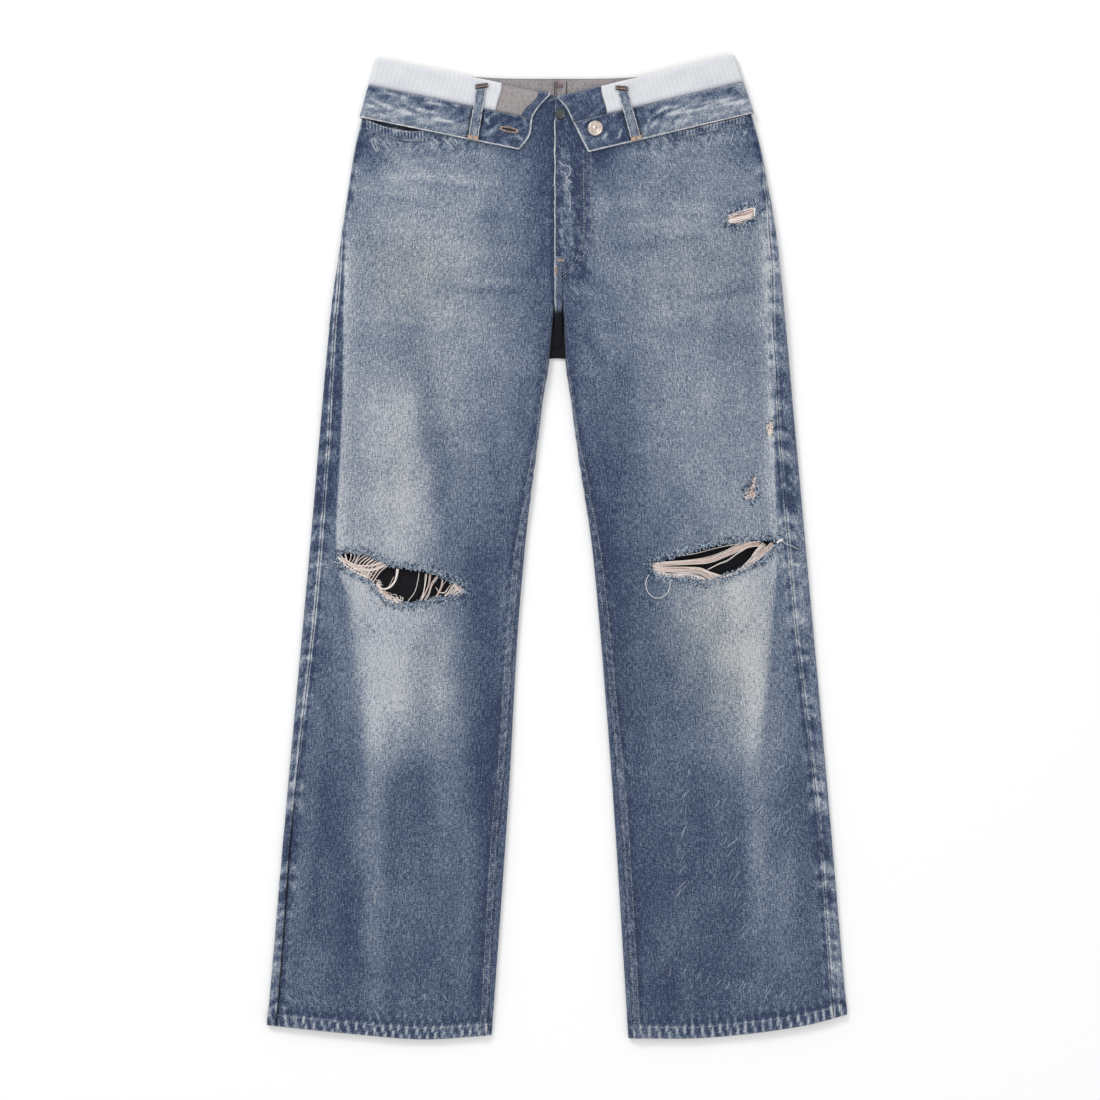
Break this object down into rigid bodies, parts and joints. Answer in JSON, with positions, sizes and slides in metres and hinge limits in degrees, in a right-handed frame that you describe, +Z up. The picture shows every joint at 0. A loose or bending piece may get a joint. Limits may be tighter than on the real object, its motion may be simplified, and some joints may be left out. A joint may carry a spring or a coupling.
{
  "type": "ripped jeans",
  "caption": "Wide-leg ripped jeans laid flat on their back, with the whole waist turned down once to the outside and torn knees.",
  "frame": {"origin": "middle of the underside, on the surface that the jeans lie on", "axes": "+Y from the hems towards the waist, +Z up out of the front of the jeans, +X towards the wearer's left leg"},
  "size_m": [0.6365, 1.0804, 0.0131],
  "materials": {
    "denim": "washed twill with faded thighs and knees, frayed rips and puckered seams",
    "denim_trim": "washed twill, darker, with double stitching and worn edges",
    "pocketing": "white cotton with a fine raised stripe",
    "button": "worn pale metal, plain face with a rim",
    "dark_button": "dark oxidised metal, plain"
  },
  "bodies": {
    "root": {"front_right": "denim", "front_left": "denim", "back_right": "denim", "back_left": "denim", "yoke_right": "denim", "yoke_left": "denim", "back_pocket_right": "denim", "back_pocket_left": "denim", "waistband": "denim_trim", "fly_facing_right": "denim_trim", "fly_facing_left": "denim_trim", "pocket_facing_right": "denim_trim", "pocket_facing_left": "denim_trim", "rise_seam": "denim_trim", "belt_loop_front_right": "denim_trim", "belt_loop_front_left": "denim_trim", "belt_loop_back_right": "denim_trim", "belt_loop_back_left": "denim_trim", "belt_loop_centre": "denim_trim", "pocket_bag_right": "pocketing", "pocket_bag_left": "pocketing", "waist_button": "button", "fly_button": "dark_button"}
  },
  "joints": []
}
